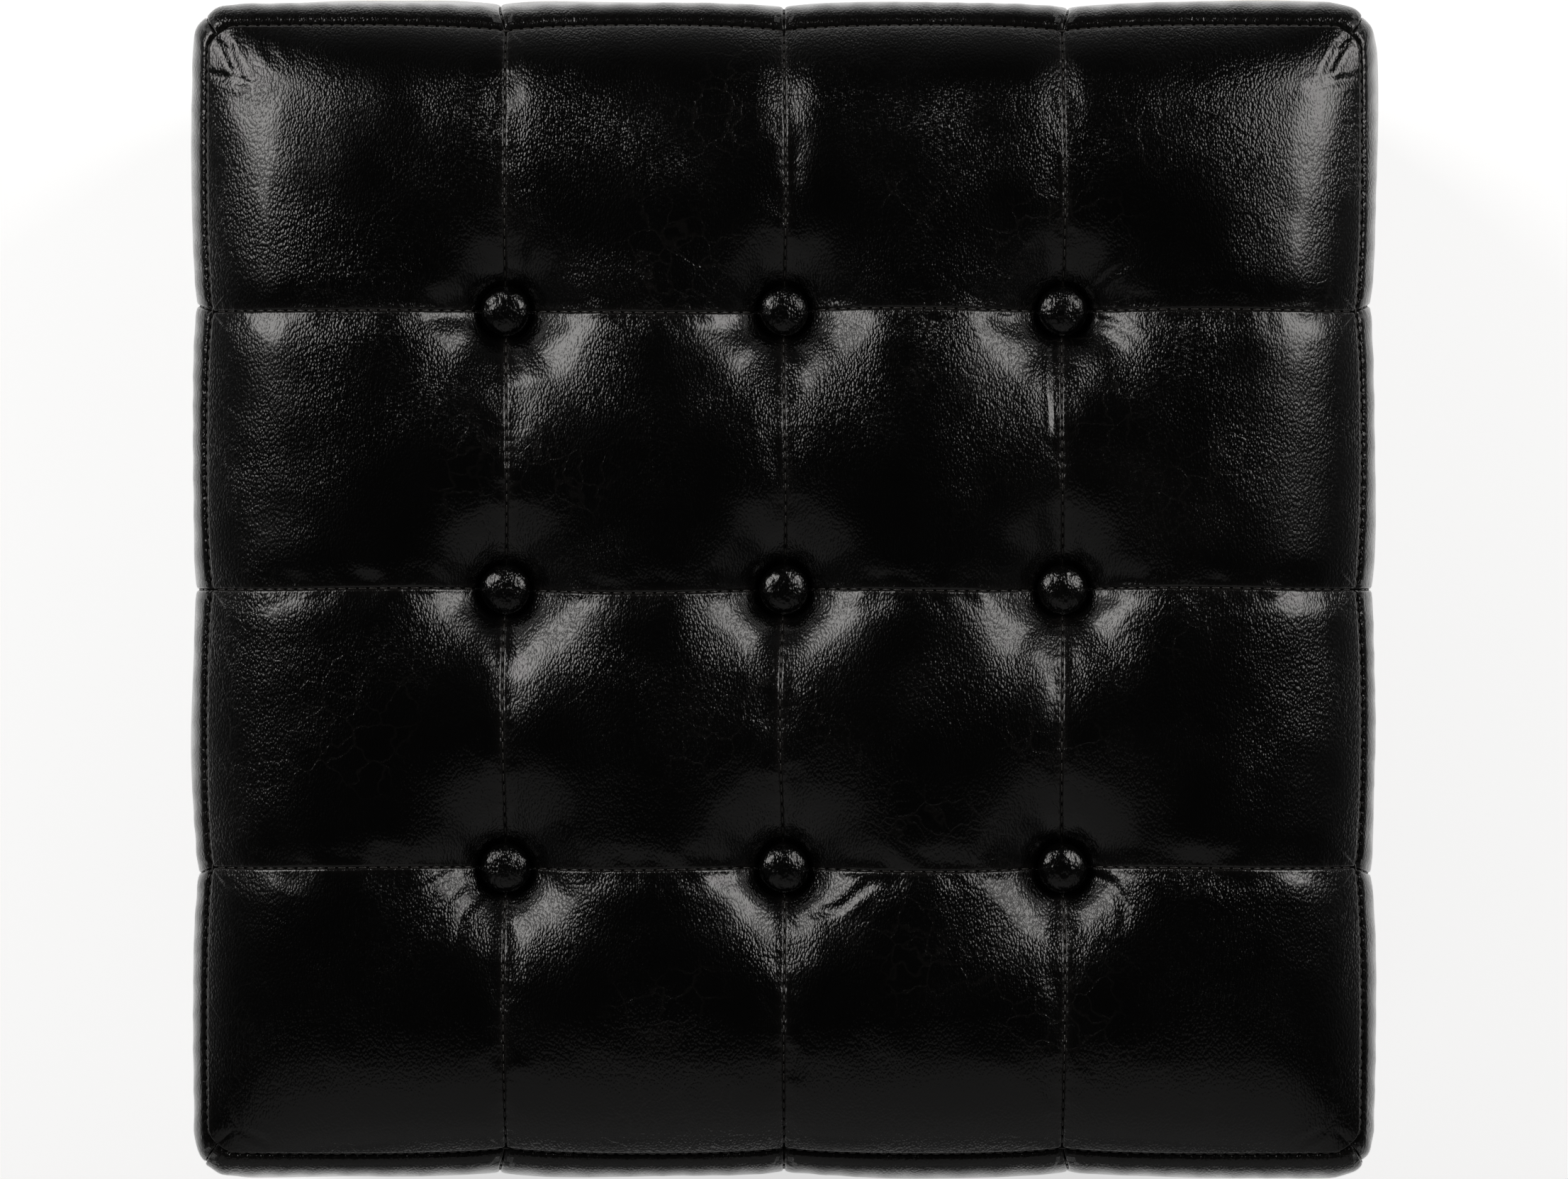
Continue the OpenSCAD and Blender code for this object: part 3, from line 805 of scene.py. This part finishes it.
class OBJECT_OT_pouf_side_panels(bpy.types.Operator):
    """Make the four tall panels of each side"""

    bl_idname = "object.pouf_side_panels"
    bl_label = "Side panels"

    ACROSS = 48
    UP = 96

    def execute(self, context):
        scene = context.scene
        top, sides = scene.pouf_top, scene.pouf_sides
        leather = glazed_leather("side leather", scene.pouf_finish)
        for quarter, side in enumerate(SIDES):
            for n in STRIPS:
                bm, spots = grid_bmesh(self.ACROSS, self.UP)
                s0, s1 = strip_ends(n)
                s = between(s0, s1, crowd(spots[:, 0]))
                t = 2 * crowd(spots[:, 1], 0.75)
                points = side_surface(s, t, quarter, top, sides)
                gs = inside_gaps(s, (s0, s1))
                gz = SEAM_Z - points[:, 2]
                panel = leather_panel(
                    f"{side}_leather_{n}", bm, points, np.minimum(gs, gz),
                    np.where(gs < gz, points[:, 2], s),
                    np.stack([s, points[:, 2]], -1), leather,
                )
                attach(panel, "pouf", "side_leather", f"{side}_panel_{n}")
        return {"FINISHED"}


class OBJECT_OT_pouf_base(bpy.types.Operator):
    """Make the two base panels with the topstitched opening for the zip"""

    bl_idname = "object.pouf_base"
    bl_label = "Base"

    ACROSS = 100
    DEEP = 44

    def panel(self, name, way, leather):
        """One half of the base, way being -1 for the front and 1 for the back."""
        bm, spots = grid_bmesh(self.ACROSS, self.DEEP)
        # Two columns close together make the step in the inner edge at each end of the opening
        step = 0.3 * MM
        knots = (0, 0.18, 0.19, 0.81, 0.82, 1.0)
        right = (OPENING.x, OPENING.x + step, BASE_HALF)
        places = (*(-place for place in reversed(right)), *right)
        x = np.interp(spots[:, 0], knots, places)
        inner = np.where(abs(x) <= OPENING.x, OPENING.y, SEAM_GAP)
        y = way * (inner + (BASE_HALF - inner) * crowd(spots[:, 1], 0.7))
        gap = BASE_HALF - np.maximum(abs(x), abs(y))
        px, py = rounded(x, y, BASE_HALF, BASE_CORNER)
        if way > 0:
            bmesh.ops.reverse_faces(bm, faces=bm.faces[:])
        return leather_panel(
            name, bm, np.stack([px, py, tuck(gap, 1.0 * MM)], -1), gap,
            np.where(abs(x) > abs(y), y, x), np.stack([x, y], -1), leather,
        )

    def execute(self, context):
        finish = context.scene.pouf_finish
        leather = glazed_leather("base leather", finish, roughness=0.36, depth=0.8)
        for way, side in ((-1, "front"), (1, "back")):
            panel = self.panel(f"base_leather_{side}", way, leather)
            attach(panel, "pouf", "base_leather", f"base_panel_{side}")
        show_node("zip_facing", glazed_leather("facing leather", finish, seams=False))
        return {"FINISHED"}


class OBJECT_OT_pouf_buttons(bpy.types.Operator):
    """Make the nine leather-covered buttons"""

    bl_idname = "object.pouf_buttons"
    bl_label = "Buttons"

    AROUND = 72
    DOWN = 40

    def execute(self, context):
        finish = context.scene.pouf_finish
        leather = glazed_leather(
            "button leather", finish, seams=False, depth=1.1, crinkle=0.4 * MM
        )
        for (r, c), middle in BUTTONS.items():
            node = f"button_cap_r{r}c{c}"
            low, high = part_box(node)
            dice = np.random.default_rng(10 * r + c)
            bm = bmesh.new()
            bmesh.ops.create_uvsphere(
                bm, u_segments=self.AROUND, v_segments=self.DOWN, radius=1.0
            )
            ball = np.array([v.co[:] for v in bm.verts])
            rise = high.z - low.z - 1.2 * MM
            turn = np.arctan2(ball[:, 1], ball[:, 0])
            width = np.hypot(ball[:, 0], ball[:, 1]).clip(0, 1)
            # Leather gathered under the rim
            waves = sum(np.cos(k * turn + dice.uniform(0, 6.3)) for k in (7, 11, 13)) / 3
            under = np.exp(-(((ball[:, 2] + 0.25) / 0.35) ** 2))
            soft = 1 + 0.012 * sum(np.cos(k * turn + dice.uniform(0, 6.3)) for k in (2, 3))
            reach = BUTTON_R * (width**0.88 * soft + 0.02 * waves * under)
            z = np.where(ball[:, 2] > 0, ball[:, 2] * rise, ball[:, 2] * 3.0 * MM)
            dents = 0.12 * MM * TOP_WAVES(ball[:, 0] / 9, ball[:, 1] / 9 + r)
            for vertex, x, y, h in zip(
                bm.verts, reach * np.cos(turn), reach * np.sin(turn), z + dents * (ball[:, 2] > 0)
            ):
                vertex.co = Vector((middle.x + x, middle.y + y, low.z + 1.2 * MM + h))
            piece = new_object(f"leather_button_r{r}c{c}", bm, leather)
            attach(piece, "pouf", "button_leather", node)
        return {"FINISHED"}


class OBJECT_OT_pouf_stitching(bpy.types.Operator):
    """Sew the seams with separate stitches"""

    bl_idname = "object.pouf_stitching"
    bl_label = "Stitching"

    THREAD_R = 0.36 * MM
    # Turns a ball so that its poles lie at the stitch's two ends
    POLES_ALONG = Matrix.Rotation(math.pi / 2, 4, "Y")
    # How far a stitch's middle lies below the leather's face
    SINK = 0.62 * MM

    def stitch_run(self, target, points, normals):
        """Adds a row of stitches between following points, lying along the seam."""
        bm = bmesh.new()
        for a, b, normal in zip(points[:-1:2], points[1::2], normals[::2]):
            a, b, up = Vector(a), Vector(b), Vector(normal)
            along = b - a
            reach = along.length / 2
            if reach < 0.5 * MM:
                continue
            along.normalize()
            side = up.cross(along).normalized()
            up = along.cross(side)
            turn = Matrix((along, side, up)).transposed().to_4x4()
            size = Matrix.Diagonal((reach + 0.25 * MM, self.THREAD_R, self.THREAD_R, 1))
            laid = Matrix.Translation((a + b) / 2) @ turn @ size @ self.POLES_ALONG
            bmesh.ops.create_uvsphere(bm, u_segments=6, v_segments=6, radius=1.0, matrix=laid)
        mesh = bpy.data.meshes.new("stitch run")
        bm.to_mesh(mesh)
        bm.free()
        target.from_mesh(mesh)
        bpy.data.meshes.remove(mesh)

    def finish_run(self, name, bm, material):
        piece = new_object(name, bm, material)
        attach(piece, "pouf", "twine")

    def places(self, start, end, pitch):
        """Ends of stitches along a line: each covers about two thirds of its pitch."""
        count = max(1, round((end - start) / pitch))
        first = start + (np.arange(count) + 0.17) * (end - start) / count
        last = first + 0.66 * (end - start) / count
        return np.stack([first, last], -1).ravel()

    def execute(self, context):
        scene = context.scene
        top, sides, finish = scene.pouf_top, scene.pouf_sides, scene.pouf_finish
        thread = waxed_thread("waxed thread", finish)
        depths = dimple_depths(top)
        bm = bmesh.new()
        for line in SEAM_LINES:
            for flip in (False, True):
                for n in STRIPS:
                    s0, s1 = strip_ends(n)
                    start = s0 + (1.5 * MM if n == 1 else 8 * MM)
                    end = s1 - (1.5 * MM if n == 4 else 8 * MM)
                    s = self.places(start, end, finish.stitch)
                    fixed = np.full_like(s, line)
                    x, y = (fixed, s) if flip else (s, fixed)
                    px, py = top_plan(x, y, top, sides)
                    z = top_height(x, y, top, depths) - self.SINK
                    self.stitch_run(bm, np.stack([px, py, z], -1), [(0, 0, 1)] * len(s))
        self.finish_run("top_seam_stitches", bm, thread)

        bm = bmesh.new()
        for quarter in range(4):
            turn = QUARTERS[quarter]
            reach = SEAM_HALF - sides.top_edge * 0.6
            s = self.places(-reach, reach, finish.stitch)
            edge = turn @ np.stack([s, np.full_like(s, -SEAM_HALF)])
            px, py = top_plan(edge[0], edge[1], top, sides)
            z = np.full_like(s, SEAM_Z)
            out = turn @ np.array([0, -DIAGONAL])
            normal = (out[0], out[1], DIAGONAL)
            inward = self.SINK * np.array(normal)
            points = np.stack([px, py, z], -1) - inward
            self.stitch_run(bm, points, [normal] * len(s))
        self.finish_run("top_edge_stitches", bm, thread)

        bm = bmesh.new()
        for quarter in range(4):
            for line in (*SEAM_LINES, SEAM_HALF):
                height = self.places(12 * MM, SEAM_Z - 3 * MM, finish.stitch)
                t = 1 + (height - FOOT_Z - sides.foot) / (SEAM_Z - FOOT_Z - sides.foot)
                low = np.clip((height - FOOT_Z) / sides.foot, 0, 1)
                t = np.where(t < 1, np.arccos(1 - low) * 2 / np.pi, t)
                s = np.full_like(t, line)
                points = side_surface(s, t, quarter, top, sides)
                out = QUARTERS[quarter] @ (
                    np.array([0.0, -1.0]) if line < SEAM_HALF else np.array([DIAGONAL, -DIAGONAL])
                )
                lift = (EDGE_ROLL - self.SINK) * np.array([out[0], out[1], 0])
                self.stitch_run(bm, points + lift, [(out[0], out[1], 0)] * len(t))
        self.finish_run("side_seam_stitches", bm, thread)

        bm = bmesh.new()
        across, deep = OPENING.x + 3.5 * MM, OPENING.y + 3.5 * MM
        for start, end in (
            ((-across, -deep), (across, -deep)), ((across, -deep), (across, deep)),
            ((across, deep), (-across, deep)), ((-across, deep), (-across, -deep)),
        ):
            start, end = np.array(start), np.array(end)
            run = np.linalg.norm(end - start)
            share = self.places(0.0, run, finish.stitch)[:, None] / run
            flat = start + (end - start) * share
            points = np.column_stack([flat, np.full(len(flat), 0.12 * MM)])
            self.stitch_run(bm, points, [(0, 0, -1)] * len(points))
        self.finish_run("base_stitches", bm, thread)
        return {"FINISHED"}


class OBJECT_OT_pouf_zip(bpy.types.Operator):
    """Finish the zip in the base"""

    bl_idname = "object.pouf_zip"
    bl_label = "Zip"

    def execute(self, context):
        finish = context.scene.pouf_finish
        show_node("zip_tapes", woven_cloth("zip tape", (0.018, 0.018, 0.02), 0.9 * MM))
        show_node("zip_teeth", moulded_plastic("zip teeth", (0.018, 0.018, 0.02)))
        metal = plated_metal("zip metal", finish.metal)
        for node in ("zip_stops", "zip_slider", "zip_pull"):
            show_node(node, metal)
        return {"FINISHED"}


class OBJECT_OT_pouf_padding(bpy.types.Operator):
    """Make the wadding and the side padding that lie straight under the leather"""

    bl_idname = "object.pouf_padding"
    bl_label = "Padding"

    @staticmethod
    def under(gap):
        """How far padding stays under the leather's outer face at a distance from a seam."""
        return LEATHER_T + 0.4 * MM + 1.7 * MM * np.exp(-((gap / (3 * MM)) ** 2))

    def execute(self, context):
        scene = context.scene
        top, sides = scene.pouf_top, scene.pouf_sides
        bm, spots = grid_bmesh(120, 120)
        reach = 0.955 * SEAM_HALF
        x, y = reach * (2 * spots[:, 0] - 1), reach * (2 * spots[:, 1] - 1)
        points = top_surface(x, y, top, sides, dimple_depths(top), rolled=False)
        points[:, 2] -= self.under(np.minimum(line_gap(x), line_gap(y)))
        place(bm, points)
        grown = bmesh.ops.extrude_face_region(bm, geom=bm.faces[:], use_keep_orig=True)
        upper = {part for part in grown["geom"] if isinstance(part, bmesh.types.BMVert)}
        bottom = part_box("foam_slab")[1].z + 0.2 * MM
        for vertex in bm.verts:
            if vertex not in upper:
                vertex.co.z = bottom
        bmesh.ops.recalc_face_normals(bm, faces=bm.faces[:])
        wadding = new_object(
            "wadding", bm, fluffy_fill("wadding", (0.85, 0.83, 0.77), 4.5 * MM, 0.8 * MM)
        )
        attach(wadding, "pouf", "wadding", "wadding_topper")

        foam = fluffy_fill("padding foam", (0.8, 0.72, 0.46), 1.4 * MM, 0.5 * MM)
        for quarter, side in enumerate(SIDES):
            bm, spots = grid_bmesh(110, 60)
            s = (SEAM_HALF - 10 * MM) * (2 * spots[:, 0] - 1)
            t = 0.4 + 1.57 * spots[:, 1]
            inset = self.under(line_gap(s))
            points = side_surface(s, t, quarter, top, sides, rolled=False, inset=inset)
            place(bm, points)
            sheet = new_object(f"{side}_padding", bm, foam)
            thick = sheet.modifiers.new("foam thickness", "SOLIDIFY")
            thick.thickness = 6 * MM
            thick.offset = -1
            attach(sheet, "pouf", "foam", "side_padding")
        return {"FINISHED"}


class OBJECT_OT_pouf_filling(bpy.types.Operator):
    """Finish what lies inside the cover"""

    bl_idname = "object.pouf_filling"
    bl_label = "Filling"

    def execute(self, context):
        calico = woven_cloth("calico", (0.66, 0.61, 0.5), 1.1 * MM)
        foam = fluffy_fill("foam", (0.8, 0.72, 0.46), 1.4 * MM, 0.5 * MM)
        fibre = fluffy_fill("stuffing fibre", (0.8, 0.78, 0.73), 6 * MM, 1.2 * MM)
        tin = plated_metal("button tin", (0.6, 0.59, 0.57), 0.38)
        finishes = {
            "deck_cloth": calico,
            "filling_bag": calico,
            "foam_slab": foam,
            "base_padding": foam,
            "stuffing": fibre,
            "button_shells": tin,
            "button_backs": tin,
            "tufting_twine": woven_cloth("tufting twine", (0.6, 0.53, 0.4), 0.5 * MM),
            "tufting_toggles": turned_wood("beech", (0.46, 0.31, 0.18)),
        }
        for node, material in finishes.items():
            show_node(node, material)
        return {"FINISHED"}


class OBJECT_OT_pouf_stage(bpy.types.Operator):
    """Set up the floor, the lights and the camera"""

    bl_idname = "object.pouf_stage"
    bl_label = "Stage"

    @staticmethod
    def area_light(name, azimuth, elevation, distance, size, radiance):
        """A softbox that faces the top, azimuth counted from +X towards +Y."""
        lamp = bpy.data.lights.new(name, "AREA")
        lamp.shape = "RECTANGLE"
        lamp.size, lamp.size_y = size
        lamp.color = (1.0, 0.98, 0.96)
        lamp.energy = radiance * math.pi * size[0] * size[1]
        made = bpy.data.objects.new(name, lamp)
        a, e = math.radians(azimuth), math.radians(elevation)
        way = Vector((math.cos(a) * math.cos(e), math.sin(a) * math.cos(e), math.sin(e)))
        made.location = Vector((0, 0, SEAM_Z)) + way * distance
        made.rotation_euler = way.to_track_quat("Z", "Y").to_euler()
        made.visible_camera = False
        bpy.context.scene.collection.objects.link(made)

    def make_floor(self, settings):
        g = Graph("studio floor", settings.floor)
        tone = g.mix(
            g.noise(3.0, 3.0), rgba(settings.floor), rgba(tuple(0.97 * v for v in settings.floor))
        )
        # Painted pool of light: the floor glows at its own colour within 0.5 m of the middle and
        # fades to a fifth of that by 1.4 m
        away = g.node("ShaderNodeVectorMath", {"operation": "LENGTH"}, _0=g.position)["Value"]
        shade = tuple(0.2 * v for v in settings.floor)
        glow = g.mix(g.smooth(away, 0.5, 1.4), rgba(settings.floor), rgba(shade))
        material = g.finish(
            height=g.noise(400.0, 2.0) * (0.02 * MM), Base_Color=tone, Roughness=0.7,
            Emission_Color=glow, Emission_Strength=0.72,
        )
        bm = bmesh.new()
        bmesh.ops.create_grid(bm, x_segments=2, y_segments=2, size=6.0)
        bmesh.ops.translate(bm, verts=bm.verts, vec=(0, 0, -0.3 * MM))
        new_object("studio_floor", bm, material)

    def make_world(self, scene):
        world = bpy.data.worlds.new("studio")
        world.use_nodes = True
        tree = world.node_tree
        tree.nodes.clear()
        place = tree.nodes.new("ShaderNodeTexCoord")
        split = tree.nodes.new("ShaderNodeSeparateXYZ")
        ramp = tree.nodes.new("ShaderNodeValToRGB")
        Graph.set_stops(ramp, ((0.0, 0.12), (0.1, 0.09), (0.4, 0.03), (0.65, 0.01)))
        glow = tree.nodes.new("ShaderNodeBackground")
        out = tree.nodes.new("ShaderNodeOutputWorld")
        tree.links.new(place.outputs["Generated"], split.inputs[0])
        tree.links.new(split.outputs["Z"], ramp.inputs[0])
        tree.links.new(ramp.outputs["Color"], glow.inputs["Color"])
        tree.links.new(glow.outputs[0], out.inputs[0])
        scene.world = world

    def execute(self, context):
        scene = context.scene
        settings = scene.pouf_stage
        self.make_floor(settings)
        self.make_world(scene)
        self.area_light("left_softbox", 145, 37, 1.7, (0.95, 0.65), 6)
        self.area_light("right_softbox", 31, 37, 1.7, (0.9, 0.65), 5.6)
        self.area_light("front_wall", 270, 34, 2.0, (3.4, 2.2), 0.16)
        lens = bpy.data.cameras.new("camera")
        lens.sensor_width = 36.0
        lens.lens = lens.sensor_width * settings.camera_distance / settings.frame_width
        lens.clip_end = 50.0
        camera = bpy.data.objects.new("camera", lens)
        camera.location = (0.0, 0.0, SEAM_Z + settings.camera_distance)
        scene.collection.objects.link(camera)
        scene.camera = camera
        scene.view_settings.view_transform = "Standard"
        return {"FINISHED"}


class VIEW3D_PT_pouf(bpy.types.Panel):
    """Lists the pouf's makers"""

    bl_label = "Leather Pouf"
    bl_space_type = "VIEW_3D"
    bl_region_type = "UI"
    bl_category = "Pouf"

    def draw(self, context):
        for maker in MAKERS:
            self.layout.operator(maker.bl_idname)


MAKERS = (
    OBJECT_OT_pouf_stage,
    OBJECT_OT_pouf_top_panels,
    OBJECT_OT_pouf_side_panels,
    OBJECT_OT_pouf_base,
    OBJECT_OT_pouf_buttons,
    OBJECT_OT_pouf_stitching,
    OBJECT_OT_pouf_zip,
    OBJECT_OT_pouf_padding,
    OBJECT_OT_pouf_filling,
)


def register():
    for group in (*SETTINGS.values(), *MAKERS, VIEW3D_PT_pouf):
        bpy.utils.register_class(group)
    for name, group in SETTINGS.items():
        setattr(bpy.types.Scene, name, bpy.props.PointerProperty(type=group))


def unregister():
    for name in SETTINGS:
        delattr(bpy.types.Scene, name)
    for group in (VIEW3D_PT_pouf, *reversed(MAKERS), *reversed(tuple(SETTINGS.values()))):
        bpy.utils.unregister_class(group)


def main():
    register()
    for maker in MAKERS:
        category, action = maker.bl_idname.split(".")
        if getattr(getattr(bpy.ops, category), action)() != {"FINISHED"}:
            raise RuntimeError(f"{maker.bl_label} could not be made")


if __name__ == "__main__":
    main()
